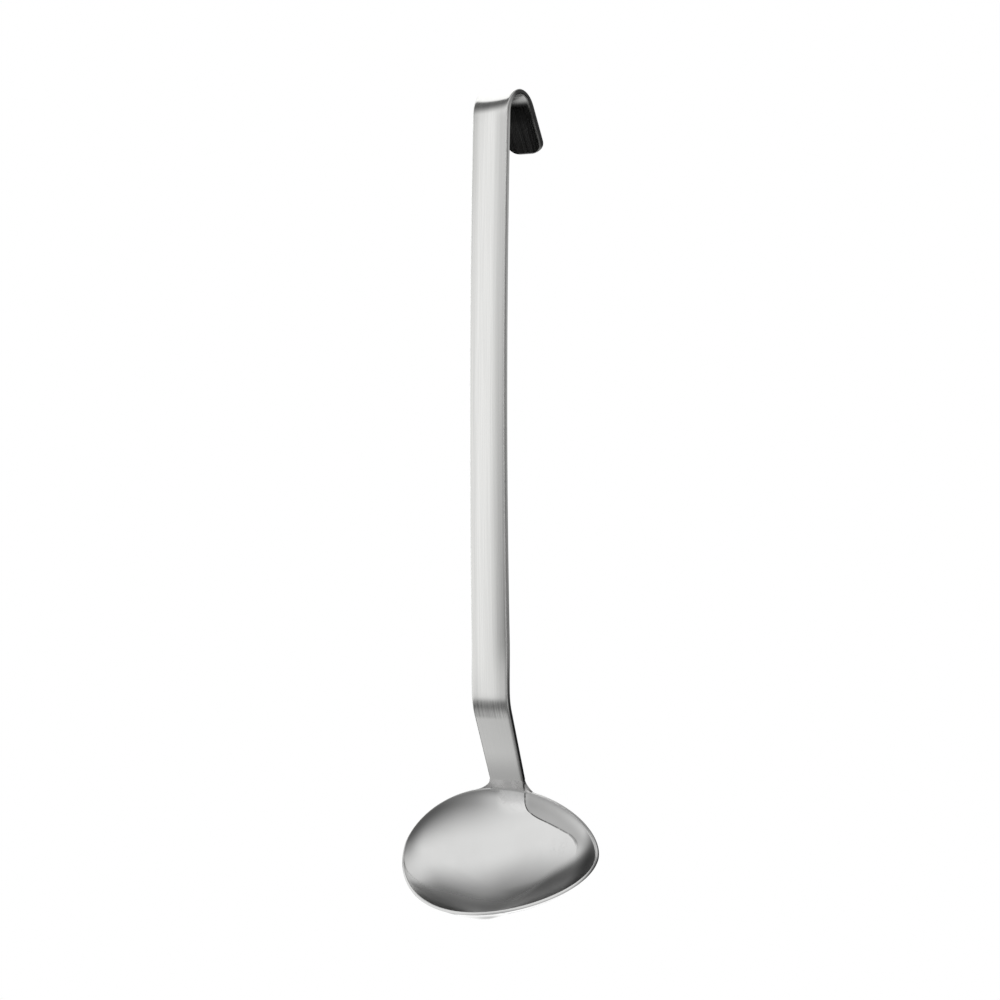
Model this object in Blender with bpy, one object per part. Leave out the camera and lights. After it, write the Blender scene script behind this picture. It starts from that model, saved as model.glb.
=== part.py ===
"""Sauce ladle with a hanging hook.

A bent steel strip makes the hook, the grip and the neck. A pressed steel bowl has an egg-shaped rim,
blunt on one side and drawn out to a pouring tip on the other. A weld joins the neck's foot to the
back of the rim.

Metres, +Z up. The origin is the hook's seat, the underside of its crest. The ladle hangs down from
there, the bowl opens to the front (-Y) and upwards, and the hook's tail goes down behind the grip.
The pouring tip points to +X.
"""

import math

import bmesh
import bpy
from mathutils import Vector

MM = 0.001

# Strip
STRIP_THICKNESS = 2.2 * MM
STRIP_EDGE_RADIUS = 0.7 * MM
GRIP_WIDTH = 17.3 * MM
BEND_WIDTH = 17.8 * MM
NECK_FOOT_WIDTH = 16.4 * MM
GRIP_CROWN = 0.7 * MM
CREST_HOLLOW = 0.6 * MM

# Hook
HOOK_INNER_RADIUS = 8.0 * MM
HOOK_TAIL_LENGTH = 19.6 * MM
HOOK_TAIL_ANGLE = math.radians(27.0)
TAIL_END_DEPTH = 5.0 * MM
TAIL_END_SQUARENESS = 3.0

# Grip and neck
GRIP_LENGTH = 231.0 * MM
GRIP_BOW_ANGLE = math.radians(4.2)
NECK_BEND_RADIUS = 28.0 * MM
NECK_ANGLE = math.radians(20.5)
NECK_LENGTH = 28.7 * MM

# Bowl, measured in the plane of its rim and along it from the handle's middle
BOWL_BLUNT_REACH = 41.8 * MM
BOWL_TIP_REACH = 50.4 * MM
BOWL_WIDTH = 52.7 * MM
LIP_EGG_FACTOR = 0.22
BACK_EGG_FACTOR = 0.16
BACK_FLATNESS = 1.14
BOWL_TILT = math.radians(28.2)
BOWL_DEPTH = 12.1 * MM
BOWL_SHEET = 1.2 * MM
BOWL_RIM_RADIUS = 0.4 * MM
BOTTOM_TO_LIP = 12.9 * MM
BOTTOM_LENGTH = 33.6 * MM
BOTTOM_WIDTH = 37.1 * MM
WALL_FULLNESS_BACK = 0.52
WALL_FULLNESS_LIP = 1.0
WALL_FULLNESS_BLUNT = 0.15
WALL_FULLNESS_TIP = 0.35
WALL_FULLNESS_TWIST = 0.26
WALL_ANGLE_BACK = math.radians(38.1)
WALL_ANGLE_LIP = math.radians(66.8)
WALL_ANGLE_BLUNT = math.radians(62.6)
WALL_ANGLE_TIP = math.radians(64.9)
WALL_ANGLE_TWIST = math.radians(-7.0)

# Weld
WELD_HEIGHT = 3.6 * MM
WELD_GAP = 0.3 * MM
WELD_REACH_BLUNT = 7.0 * MM
WELD_REACH_TIP = 4.5 * MM
WELD_BULGE = 0.3 * MM

# Mesh fineness
FACE_STEPS = 6
CORNER_STEPS = 3
TAIL_END_STEPS = 5
TAIL_STEPS = 3
HOOK_STEPS = 16
GRIP_STEPS = 18
BEND_STEPS = 5
NECK_STEPS = 3
BOWL_SIDES = 64
BOWL_RINGS = 12
WELD_ROWS = 5
WELD_COLUMNS = 12

ACROSS = Vector((1.0, 0.0, 0.0))


def clear_scene():
    for item in list(bpy.data.objects):
        bpy.data.objects.remove(item, do_unlink=True)


def steel(name, colour, roughness):
    material = bpy.data.materials.new(name)
    material.use_nodes = True
    shader = material.node_tree.nodes["Principled BSDF"]
    shader.inputs["Base Color"].default_value = (*colour, 1.0)
    shader.inputs["Metallic"].default_value = 1.0
    shader.inputs["Roughness"].default_value = roughness
    return material


def add_object(name, shape, material):
    """Make a named object from a bmesh, shaded smooth where its faces nearly agree."""
    mesh = bpy.data.meshes.new(name)
    shape.to_mesh(mesh)
    shape.free()
    mesh.shade_smooth()
    mesh.set_sharp_from_angle(angle=math.radians(40.0))
    mesh.materials.append(material)
    item = bpy.data.objects.new(name, mesh)
    bpy.context.scene.collection.objects.link(item)
    return item


def add_ring(shape, points):
    corners = [shape.verts.new(point) for point in points]
    return [shape.edges.new((corners[index - 1], corner)) for index, corner in enumerate(corners)]


def loft(rings):
    """A closed body: each ring bridged to the next, and both ends filled."""
    shape = bmesh.new()
    loops = [add_ring(shape, ring) for ring in rings]
    for near, far in zip(loops, loops[1:]):
        bmesh.ops.bridge_loops(shape, edges=near + far)
    for loop in (loops[0], loops[-1]):
        bmesh.ops.contextual_create(shape, geom=loop)
    bmesh.ops.recalc_face_normals(shape, faces=shape.faces)
    return shape


def ease(share):
    """Rises smoothly from 0 to 1 as the share does."""
    share = min(max(share, 0.0), 1.0)
    return share * share * (3.0 - 2.0 * share)


# The strip's path lies in the YZ plane, in the middle of its thickness. A heading of 0 points up and
# grows towards the front, so the path climbs the tail, turns over the crest and comes down the grip.

def along(heading):
    return Vector((0.0, -math.sin(heading), math.cos(heading)))


def outward(heading):
    """The strip's outer side on the hook, which is its front on the grip and the neck."""
    return Vector((0.0, math.cos(heading), math.sin(heading)))


def run_arc(start, heading, length, turn, steps):
    """The stations after the start of an arc that turns the heading, as places and headings."""
    radius = length / turn
    centre = start - outward(heading) * radius
    headings = [heading + turn * index / steps for index in range(1, steps + 1)]
    return [(centre + outward(angle) * radius, angle) for angle in headings]


def run_line(start, heading, length, steps):
    return [(start + along(heading) * (length * index / steps), heading) for index in range(1, steps + 1)]


def tail_stations():
    """From the tail's end to the hook's arc. The width follows the end's rounded outline."""
    radius = HOOK_INNER_RADIUS + STRIP_THICKNESS / 2
    top = outward(HOOK_TAIL_ANGLE) * radius - Vector((0.0, 0.0, HOOK_INNER_RADIUS))
    end = top - along(HOOK_TAIL_ANGLE) * HOOK_TAIL_LENGTH
    stations = []
    for index in range(1, TAIL_END_STEPS + 1):
        angle = math.pi / 2 * index / TAIL_END_STEPS
        distance = TAIL_END_DEPTH * (1.0 - math.cos(angle))
        width = GRIP_WIDTH * math.sin(angle) ** (2.0 / TAIL_END_SQUARENESS)
        stations.append((end + along(HOOK_TAIL_ANGLE) * distance, HOOK_TAIL_ANGLE, width, 0.0))
    straight = HOOK_TAIL_LENGTH - TAIL_END_DEPTH
    for place, heading in run_line(stations[-1][0], HOOK_TAIL_ANGLE, straight, TAIL_STEPS):
        stations.append((place, heading, GRIP_WIDTH, 0.0))
    return stations


def hook_stations(start):
    """Over the crest. The bend leaves the strip hollow across the crest and crowned on the grip."""
    turn = math.pi - GRIP_BOW_ANGLE / 2 - HOOK_TAIL_ANGLE
    radius = HOOK_INNER_RADIUS + STRIP_THICKNESS / 2
    crest = math.pi / 2
    stations = []
    for place, heading in run_arc(start, HOOK_TAIL_ANGLE, radius * turn, turn, HOOK_STEPS):
        if heading < crest:
            crown = -CREST_HOLLOW * ease((heading - HOOK_TAIL_ANGLE) / (crest - HOOK_TAIL_ANGLE))
        else:
            rise = ease((heading - crest) / (HOOK_TAIL_ANGLE + turn - crest))
            crown = -CREST_HOLLOW + (GRIP_CROWN + CREST_HOLLOW) * rise
        stations.append((place, heading, GRIP_WIDTH, crown))
    return stations


def grip_stations(start, heading):
    """Down the grip, which bows a little to the front and widens towards the bend."""
    stations = []
    run = run_arc(start, heading, GRIP_LENGTH, GRIP_BOW_ANGLE, GRIP_STEPS)
    for index, (place, angle) in enumerate(run, 1):
        width = GRIP_WIDTH + (BEND_WIDTH - GRIP_WIDTH) * ease(2.0 * index / GRIP_STEPS - 1.0)
        stations.append((place, angle, width, GRIP_CROWN))
    return stations


def bend_stations(start, heading):
    """Round the bend to the neck, where the crown fades out."""
    turn = math.pi + NECK_ANGLE - heading
    stations = []
    run = run_arc(start, heading, NECK_BEND_RADIUS * turn, turn, BEND_STEPS)
    for index, (place, angle) in enumerate(run, 1):
        stations.append((place, angle, BEND_WIDTH, GRIP_CROWN * (1.0 - ease(index / BEND_STEPS))))
    return stations


def neck_stations(start, heading):
    stations = []
    for index, (place, angle) in enumerate(run_line(start, heading, NECK_LENGTH, NECK_STEPS), 1):
        width = BEND_WIDTH + (NECK_FOOT_WIDTH - BEND_WIDTH) * index / NECK_STEPS
        stations.append((place, angle, width, 0.0))
    return stations


def strip_stations():
    stations = tail_stations()
    stations += hook_stations(stations[-1][0])
    stations += grip_stations(*stations[-1][:2])
    stations += bend_stations(*stations[-1][:2])
    stations += neck_stations(*stations[-1][:2])
    return stations


def strip_outline(half_width, half_thickness, radius):
    """A rectangle with rounded corners, from the front's left corner round to its start."""
    points = []
    flat = half_width - radius
    for side in (1.0, -1.0):
        for index in range(FACE_STEPS):
            points.append((side * flat * (2.0 * index / FACE_STEPS - 1.0), side * half_thickness))
        for index in range(2 * CORNER_STEPS + 2):
            corner = 0 if index <= CORNER_STEPS else 1
            angle = math.pi / 2 * (1.0 - (index - corner) / CORNER_STEPS)
            middle = (half_thickness - radius) * (1.0 - 2.0 * corner)
            x = flat + radius * math.cos(angle)
            y = middle + radius * math.sin(angle)
            points.append((side * x, side * y))
    return points


def strip_section(place, heading, width, crown):
    radius = min(STRIP_EDGE_RADIUS, 0.45 * STRIP_THICKNESS)
    half_width = width / 2
    points = []
    for x, y in strip_outline(half_width, STRIP_THICKNESS / 2, radius):
        height = y - crown * (x / half_width) ** 2
        points.append(place + ACROSS * x + outward(heading) * height)
    return points


def make_handle(material):
    rings = [strip_section(*station) for station in strip_stations()]
    return add_object("handle", loft(rings), material)


# The bowl's own frame has its origin at the rim's inner edge behind the handle's middle. X runs
# along the rim, V towards the lip in the rim's plane, and the depth is square to that plane.

def rim_origin():
    foot, heading = strip_stations()[-1][:2]
    return foot + along(heading) * WELD_HEIGHT + outward(heading) * (STRIP_THICKNESS / 2)


def bowl_point(x, v, depth):
    to_lip = Vector((0.0, -math.sin(BOWL_TILT), -math.cos(BOWL_TILT)))
    inward = Vector((0.0, math.cos(BOWL_TILT), -math.sin(BOWL_TILT)))
    return rim_origin() + ACROSS * x + to_lip * v + inward * depth


def egg_height(turn):
    """How far the rim lies from its long axis, towards the lip. The back is a little flatter."""
    if math.sin(turn) > 0.0:
        return BOWL_WIDTH / 2 * math.sin(turn) * (1.0 - LIP_EGG_FACTOR * math.cos(turn))
    back = abs(math.sin(turn)) ** BACK_FLATNESS
    return -BOWL_WIDTH / 2 * back * (1.0 - BACK_EGG_FACTOR * math.cos(turn))


def rim_turn(x):
    """The turn at which the back of the rim passes over x."""
    middle = (BOWL_TIP_REACH - BOWL_BLUNT_REACH) / 2
    half_length = (BOWL_TIP_REACH + BOWL_BLUNT_REACH) / 2
    return -math.acos((x - middle) / half_length)


def rim_xv(turn):
    """The rim's outline: a turn of 0 is the pouring tip, a quarter turn the lip."""
    middle = (BOWL_TIP_REACH - BOWL_BLUNT_REACH) / 2
    half_length = (BOWL_TIP_REACH + BOWL_BLUNT_REACH) / 2
    x = middle + half_length * math.cos(turn)
    return x, egg_height(turn) - egg_height(rim_turn(0.0))


def around(angle, tip, blunt, lip, back, twist):
    """Runs smoothly round the bowl through the values at its tip, its blunt end, its lip and its back.

    A positive twist adds between the tip and the lip and takes off between the tip and the back.
    """
    mean = (tip + blunt + lip + back) / 4
    lengthwise = (tip - blunt) / 2 * math.cos(angle)
    crosswise = (lip - back) / 2 * math.sin(angle)
    ends = ((tip + blunt) / 2 - mean) * math.cos(2.0 * angle)
    return mean + lengthwise + crosswise + ends + twist * math.sin(2.0 * angle)


def wall_point(turn, share):
    """A point on the inner wall, on a curve from the rim, at a share of 0, to the bottom's middle.

    Towards the middle the fullness goes over into its mean, which leaves the bottom smooth.
    """
    rim_x, rim_v = rim_xv(turn)
    middle_v = -egg_height(rim_turn(0.0)) + BOTTOM_TO_LIP
    reach = math.hypot(rim_x, rim_v - middle_v)
    side_x = rim_x / reach
    side_v = (rim_v - middle_v) / reach
    bottom = 1.0 / math.hypot(2.0 * side_x / BOTTOM_LENGTH, 2.0 * side_v / BOTTOM_WIDTH)
    angle = math.atan2((rim_v - middle_v) / BOWL_WIDTH, rim_x / (BOWL_TIP_REACH + BOWL_BLUNT_REACH))
    fullness = around(angle, WALL_FULLNESS_TIP, WALL_FULLNESS_BLUNT, WALL_FULLNESS_LIP, WALL_FULLNESS_BACK,
                      WALL_FULLNESS_TWIST)
    slope = around(angle, WALL_ANGLE_TIP, WALL_ANGLE_BLUNT, WALL_ANGLE_LIP, WALL_ANGLE_BACK,
                   WALL_ANGLE_TWIST)
    mean = (WALL_FULLNESS_TIP + WALL_FULLNESS_BLUNT + WALL_FULLNESS_LIP + WALL_FULLNESS_BACK) / 4
    drawn_in = fullness * BOWL_DEPTH / math.tan(slope)
    rest = 1.0 - share
    shoulder = BOWL_DEPTH * (mean + (fullness - mean) * rest)
    weights = (rest ** 3, 3.0 * rest ** 2 * share, 3.0 * rest * share ** 2, share ** 3)
    distance = weights[0] * reach + weights[1] * (reach - drawn_in) + weights[2] * bottom
    depth = weights[1] * shoulder + (weights[2] + weights[3]) * BOWL_DEPTH
    return bowl_point(side_x * distance, middle_v + side_v * distance, depth)


def make_bowl(material):
    """The inner wall as rings from the rim to the bottom, with the sheet's thickness added outside."""
    shape = bmesh.new()
    turns = [2.0 * math.pi * index / BOWL_SIDES for index in range(BOWL_SIDES)]
    loops = []
    for ring in range(BOWL_RINGS):
        share = ring / BOWL_RINGS
        loops.append(add_ring(shape, [wall_point(turn, share) for turn in turns]))
    for outer, inner in zip(loops, loops[1:]):
        bmesh.ops.bridge_loops(shape, edges=outer + inner)
    middle = shape.verts.new(wall_point(0.0, 1.0))
    for edge in loops[-1]:
        shape.faces.new((*edge.verts, middle))
    bmesh.ops.recalc_face_normals(shape, faces=shape.faces)
    shape.faces.ensure_lookup_table()
    opening = bowl_point(0.0, 0.0, 0.0) - bowl_point(0.0, 0.0, BOWL_DEPTH)
    if shape.faces[-1].normal.dot(opening) < 0.0:
        bmesh.ops.reverse_faces(shape, faces=shape.faces)
    bowl = add_object("bowl", shape, material)
    sheet = bowl.modifiers.new("sheet", "SOLIDIFY")
    sheet.thickness = BOWL_SHEET
    sheet.offset = -1.0
    sheet.use_even_offset = True
    rim = bowl.modifiers.new("rim", "BEVEL")
    rim.width = min(BOWL_RIM_RADIUS, 0.4 * BOWL_SHEET)
    rim.segments = 2
    rim.limit_method = "ANGLE"
    rim.angle_limit = math.radians(50.0)
    return bowl


def weld_section(share):
    """A section across the weld, from the neck's foot, at a share of 0, to the bowl's rim.

    Each side is a quarter of an ellipse, from the neck's edge out along the rim.
    """
    heading = math.pi + NECK_ANGLE
    first = math.asin(WELD_GAP / WELD_HEIGHT)
    last = math.asin(1.0 - WELD_GAP / WELD_HEIGHT)
    turn = first + (last - first) * share
    height = WELD_HEIGHT * (1.0 - math.sin(turn))
    reaches = (WELD_REACH_BLUNT, WELD_REACH_TIP)
    halves = [NECK_FOOT_WIDTH / 2 + reach * (1.0 - math.cos(turn)) for reach in reaches]
    thickness = STRIP_THICKNESS + (BOWL_SHEET - STRIP_THICKNESS) * share
    front = []
    back = []
    for index in range(WELD_COLUMNS + 1):
        across = 2.0 * index / WELD_COLUMNS - 1.0
        x = across * (halves[0] if across < 0.0 else halves[1])
        rim = bowl_point(x, rim_xv(rim_turn(x))[1] * ease(share), 0.0)
        place = rim - along(heading) * height
        bulge = WELD_BULGE * math.sin(math.pi * share) * (1.0 - across ** 2)
        front.append(place)
        back.append(place - outward(heading) * (thickness + bulge))
    return front + back[::-1]


def make_neck_weld(material):
    rings = [weld_section(row / WELD_ROWS) for row in range(WELD_ROWS + 1)]
    return add_object("neck_weld", loft(rings), material)


def main():
    clear_scene()
    make_handle(steel("brushed_steel", (0.62, 0.62, 0.61), 0.32))
    make_bowl(steel("satin_steel", (0.60, 0.60, 0.60), 0.25))
    make_neck_weld(steel("weld_steel", (0.55, 0.54, 0.53), 0.45))


main()
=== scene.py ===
"""Steel sauce ladle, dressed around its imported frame.

Metres, +Z up, in the frame's own axes. The origin is the hook's seat, the bowl opens to the front (-Y)
and the pouring tip points to +X.
"""

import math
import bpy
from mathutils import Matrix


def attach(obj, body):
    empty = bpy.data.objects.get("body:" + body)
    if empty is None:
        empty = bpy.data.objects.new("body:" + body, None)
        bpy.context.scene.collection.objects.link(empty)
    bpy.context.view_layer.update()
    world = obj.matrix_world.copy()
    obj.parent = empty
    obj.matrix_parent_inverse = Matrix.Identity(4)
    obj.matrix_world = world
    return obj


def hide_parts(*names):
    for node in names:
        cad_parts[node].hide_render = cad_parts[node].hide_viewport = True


bl_info = {
    "name": "Sauce Ladle",
    "version": (1, 0, 0),
    "blender": (4, 5, 0),
    "location": "View3D > Sidebar > Ladle",
    "description": "Models a welded steel sauce ladle and its finishes around the fixed frame",
    "category": "Object",
}

import bmesh
import bpy
from mathutils import Vector

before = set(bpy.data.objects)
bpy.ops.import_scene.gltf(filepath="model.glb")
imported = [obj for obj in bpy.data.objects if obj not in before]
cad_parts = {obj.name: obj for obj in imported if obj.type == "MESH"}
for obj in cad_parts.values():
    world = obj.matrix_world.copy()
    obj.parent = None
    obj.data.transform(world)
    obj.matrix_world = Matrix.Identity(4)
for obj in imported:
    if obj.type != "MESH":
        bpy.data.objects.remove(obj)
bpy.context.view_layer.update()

MM = 0.001
BODY = "root"
ACROSS = Vector((1.0, 0.0, 0.0))

# Fineness of the meshes
CORNER_SEGMENTS = 4
FACE_CUTS = 17
TAIL_END_STEPS = 12
TAIL_STEPS = 6
HOOK_STEPS = 40
GRIP_STEPS = 60
BEND_STEPS = 20
NECK_STEPS = 12
BOWL_SIDES = 160
BOWL_RINGS = 44
WELD_ROWS = 24
WELD_COLUMNS = 48
RIM_SEGMENTS = 4
RIM_ANGLE = math.radians(50.0)
SMOOTH_ANGLE = math.radians(40.0)
DOUBLES_GAP = 1e-7

# The weld's plate as a share of the strip's thickness, and how squarely a point of the bowl has to
# face its opening to count as inside
PLATE_SHARE = 0.7
FACING_LIMIT = 0.05

# The fold in the bowl's wall beside the neck, along which a shade line is painted, as V and X in the
# bowl's own frame, and the spans that hold it. These and all places in the steels are in millimetres.
FOLD = ((2.0, 8.4), (6.8, 9.1), (8.5, 11.6), (9.9, 14.9), (11.3, 19.2), (12.8, 23.7), (14.7, 28.8),
        (16.7, 33.6), (19.5, 36.8), (21.5, 37.3))
FOLD_SPAN_V = 25.0
FOLD_SPAN_X = 40.0

# The height of the grip and of the strip's lower bend, from their foot to their top
GRIP_RUN = (-242.0, -10.0)
BEND_RUN = (-248.0, -245.0)

# The directions of the grinding marks
GRINDING_TURNS = (math.radians(38.0), math.radians(-52.0))

# Roughness of the steels. A pair runs from the clearest place to the dullest.
STRIP_ROUGHNESS = (0.14, 0.2)
CORNER_ROUGHNESS = 0.55
SIDE_ROUGHNESS = 0.35
BOWL_HAZE = (0.09, 0.13)
WELD_HAZE = (0.22, 0.34)
DULL_WALL_ROUGHNESS = 0.4
GROUND_ROUGHNESS = 0.34
JOINED_ROUGHNESS = 0.5

# Tones: how much lighter or darker than the plain steel a place is. Those named for light, highlight
# or shade are painted light and shade.
CORNER_HIGHLIGHT_TONE = 1.58
SIDE_LIGHT_AND_SHADE_TONES = (0.6, 1.5)
PAINTED_UNDERSIDE_SHADE = 0.45
PAINTED_TAIL_SHADE = 0.35
PAINTED_SIDE_SHADE = 0.15
FLANK_SHADE_TONE = 0.74
FOLD_LINE_SHADE = 0.1
RUB_TONE = 0.92
TIP_SHADE_TONE = 0.22
LIP_WALL_SHADE_TONES = (0.42, 0.28)
GROUND_TONES = (1.3, 1.16)
JOINED_TONE = 0.8
WELD_LINE_SHADE = 0.12


class StripSizes(bpy.types.PropertyGroup):
    """The bent strip that makes the hook, the grip and the neck."""

    thickness: bpy.props.FloatProperty(
        name="Thickness", description="Gauge of the strip", default=2.2 * MM, unit="LENGTH")
    edge_radius: bpy.props.FloatProperty(
        name="Edge radius", description="Rounding of the strip's long edges", default=0.7 * MM,
        unit="LENGTH")
    grip_width: bpy.props.FloatProperty(
        name="Grip width", description="Width of the hook and the grip", default=17.3 * MM, unit="LENGTH")
    bend_width: bpy.props.FloatProperty(
        name="Bend width", description="Width at the lower bend", default=17.8 * MM, unit="LENGTH")
    foot_width: bpy.props.FloatProperty(
        name="Foot width", description="Width of the neck at its foot", default=16.4 * MM, unit="LENGTH")
    grip_crown: bpy.props.FloatProperty(
        name="Grip crown", description="How far the grip's front rises in its middle", default=0.7 * MM,
        unit="LENGTH")
    crest_hollow: bpy.props.FloatProperty(
        name="Crest hollow", description="How far the crest sinks in its middle", default=0.6 * MM,
        unit="LENGTH")
    hook_radius: bpy.props.FloatProperty(
        name="Hook radius", description="Inner radius of the hook", default=8.0 * MM, unit="LENGTH")
    tail_length: bpy.props.FloatProperty(
        name="Tail length", description="Straight length of the hook's tail", default=19.6 * MM,
        unit="LENGTH")
    tail_angle: bpy.props.FloatProperty(
        name="Tail angle", description="How far the tail spreads from the upright",
        default=math.radians(27.0), subtype="ANGLE")
    tail_end_depth: bpy.props.FloatProperty(
        name="Tail end depth", description="Depth of the tail's rounded end", default=5.0 * MM,
        unit="LENGTH")
    grip_length: bpy.props.FloatProperty(
        name="Grip length", description="From the hook to the lower bend", default=231.0 * MM,
        unit="LENGTH")
    grip_bow: bpy.props.FloatProperty(
        name="Grip bow", description="How far the grip turns along its length",
        default=math.radians(4.2), subtype="ANGLE")
    bend_radius: bpy.props.FloatProperty(
        name="Bend radius", description="Radius of the lower bend", default=28.0 * MM, unit="LENGTH")
    neck_angle: bpy.props.FloatProperty(
        name="Neck angle", description="Slope of the neck from the upright",
        default=math.radians(20.5), subtype="ANGLE")
    neck_length: bpy.props.FloatProperty(
        name="Neck length", description="From the lower bend to the weld", default=28.7 * MM,
        unit="LENGTH")


class BowlSizes(bpy.types.PropertyGroup):
    """The pressed bowl, measured in the plane of its rim."""

    blunt_reach: bpy.props.FloatProperty(
        name="Blunt reach", description="From the handle's middle to the blunt end", default=41.8 * MM,
        unit="LENGTH")
    tip_reach: bpy.props.FloatProperty(
        name="Tip reach", description="From the handle's middle to the pouring tip", default=50.4 * MM,
        unit="LENGTH")
    width: bpy.props.FloatProperty(
        name="Width", description="From the back of the rim to the lip", default=52.7 * MM, unit="LENGTH")
    lip_egg: bpy.props.FloatProperty(
        name="Lip egg shape", description="How much narrower the lip's side is towards the tip",
        default=0.22)
    back_egg: bpy.props.FloatProperty(
        name="Back egg shape", description="How much narrower the back is towards the tip", default=0.16)
    back_flatness: bpy.props.FloatProperty(
        name="Back flatness", description="Above 1 the back is flatter than an ellipse", default=1.14)
    tilt: bpy.props.FloatProperty(
        name="Tilt", description="How far the rim's plane leans from the upright",
        default=math.radians(28.2), subtype="ANGLE")
    depth: bpy.props.FloatProperty(
        name="Depth", description="From the rim's plane to the bottom", default=12.1 * MM, unit="LENGTH")
    sheet: bpy.props.FloatProperty(
        name="Sheet", description="Thickness of the steel sheet", default=1.2 * MM, unit="LENGTH")
    rim_radius: bpy.props.FloatProperty(
        name="Rim radius", description="Rounding of the rim's edges", default=0.4 * MM, unit="LENGTH")
    bottom_to_lip: bpy.props.FloatProperty(
        name="Bottom to lip", description="How far the deepest place lies towards the lip",
        default=12.9 * MM, unit="LENGTH")
    bottom_length: bpy.props.FloatProperty(
        name="Bottom length", description="Length of the flatter bottom", default=33.6 * MM, unit="LENGTH")
    bottom_width: bpy.props.FloatProperty(
        name="Bottom width", description="Width of the flatter bottom", default=37.1 * MM, unit="LENGTH")
    fullness_back: bpy.props.FloatProperty(
        name="Back fullness", description="How deep the back wall keeps its slope", default=0.52)
    fullness_lip: bpy.props.FloatProperty(
        name="Lip fullness", description="How deep the lip's wall keeps its slope", default=1.0)
    fullness_blunt: bpy.props.FloatProperty(
        name="Blunt fullness", description="How deep the blunt end keeps its slope", default=0.15)
    fullness_tip: bpy.props.FloatProperty(
        name="Tip fullness", description="How deep the pouring tip keeps its slope", default=0.35)
    fullness_twist: bpy.props.FloatProperty(
        name="Fullness twist", description="How much fuller the wall is between the tip and the lip",
        default=0.26)
    slope_back: bpy.props.FloatProperty(
        name="Back slope", description="The back wall's angle to the rim's plane",
        default=math.radians(38.1), subtype="ANGLE")
    slope_lip: bpy.props.FloatProperty(
        name="Lip slope", description="The lip wall's angle to the rim's plane",
        default=math.radians(66.8), subtype="ANGLE")
    slope_blunt: bpy.props.FloatProperty(
        name="Blunt slope", description="The blunt end's angle to the rim's plane",
        default=math.radians(62.6), subtype="ANGLE")
    slope_tip: bpy.props.FloatProperty(
        name="Tip slope", description="The pouring tip's angle to the rim's plane",
        default=math.radians(64.9), subtype="ANGLE")
    slope_twist: bpy.props.FloatProperty(
        name="Slope twist", description="How much steeper the wall is between the tip and the lip",
        default=math.radians(-7.0), subtype="ANGLE")


class WeldSizes(bpy.types.PropertyGroup):
    """The weld between the neck's foot and the bowl's rim."""

    height: bpy.props.FloatProperty(
        name="Height", description="From the neck's foot to the rim", default=3.6 * MM, unit="LENGTH")
    reach_blunt: bpy.props.FloatProperty(
        name="Blunt reach", description="How far the fillet runs out towards the blunt end",
        default=7.0 * MM, unit="LENGTH")
    reach_tip: bpy.props.FloatProperty(
        name="Tip reach", description="How far the fillet runs out towards the tip", default=4.5 * MM,
        unit="LENGTH")


class Finishes(bpy.types.PropertyGroup):
    """Colours and finishes of the steel and the studio."""

    handle_colour: bpy.props.FloatVectorProperty(
        name="Handle steel", description="Colour of the brushed strip", subtype="COLOR",
        default=(0.62, 0.62, 0.61))
    bowl_colour: bpy.props.FloatVectorProperty(
        name="Bowl steel", description="Colour of the polished bowl", subtype="COLOR",
        default=(0.62, 0.62, 0.615))
    weld_colour: bpy.props.FloatVectorProperty(
        name="Weld steel", description="Colour of the ground weld", subtype="COLOR",
        default=(0.56, 0.555, 0.55))
    floor_colour: bpy.props.FloatVectorProperty(
        name="Floor", description="Colour of the pale floor", subtype="COLOR", default=(0.8, 0.8, 0.8))


def select_only(piece):
    bpy.ops.object.select_all(action="DESELECT")
    piece.select_set(True)
    bpy.context.view_layer.objects.active = piece


def take_active(name):
    piece = bpy.context.object
    piece.name = name
    piece.data.name = name
    return piece


def move_points(piece, rule):
    """Sets every point of the mesh to what the rule gives for it."""
    for corner in piece.data.vertices:
        corner.co = rule(corner.co.copy())
    piece.data.update()


def face_outwards(piece):
    """Closes doubled points and turns all faces to one side."""
    select_only(piece)
    bpy.ops.object.mode_set(mode="EDIT")
    bpy.ops.mesh.select_all(action="SELECT")
    bpy.ops.mesh.remove_doubles(threshold=DOUBLES_GAP)
    bpy.ops.mesh.normals_make_consistent(inside=False)
    bpy.ops.object.mode_set(mode="OBJECT")


def apply_modifiers(piece):
    select_only(piece)
    for modifier in list(piece.modifiers):
        bpy.ops.object.modifier_apply(modifier=modifier.name)


def dress(piece, material, node):
    """Gives a finished piece its material and its place in the frame."""
    piece.data.materials.clear()
    piece.data.materials.append(material)
    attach(piece, BODY)
    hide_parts(node)


def ease(share):
    share = min(max(share, 0.0), 1.0)
    return share * share * (3.0 - 2.0 * share)


# The strip's path lies in the YZ plane. A heading of 0 points up and grows towards the front.

def along(heading):
    return Vector((0.0, -math.sin(heading), math.cos(heading)))


def outward(heading):
    return Vector((0.0, math.cos(heading), math.sin(heading)))


def run_arc(start, heading, length, turn, steps):
    radius = length / turn
    centre = start - outward(heading) * radius
    headings = [heading + turn * index / steps for index in range(1, steps + 1)]
    return [(centre + outward(angle) * radius, angle) for angle in headings]


def run_line(start, heading, length, steps):
    return [(start + along(heading) * (length * index / steps), heading) for index in range(1, steps + 1)]


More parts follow.
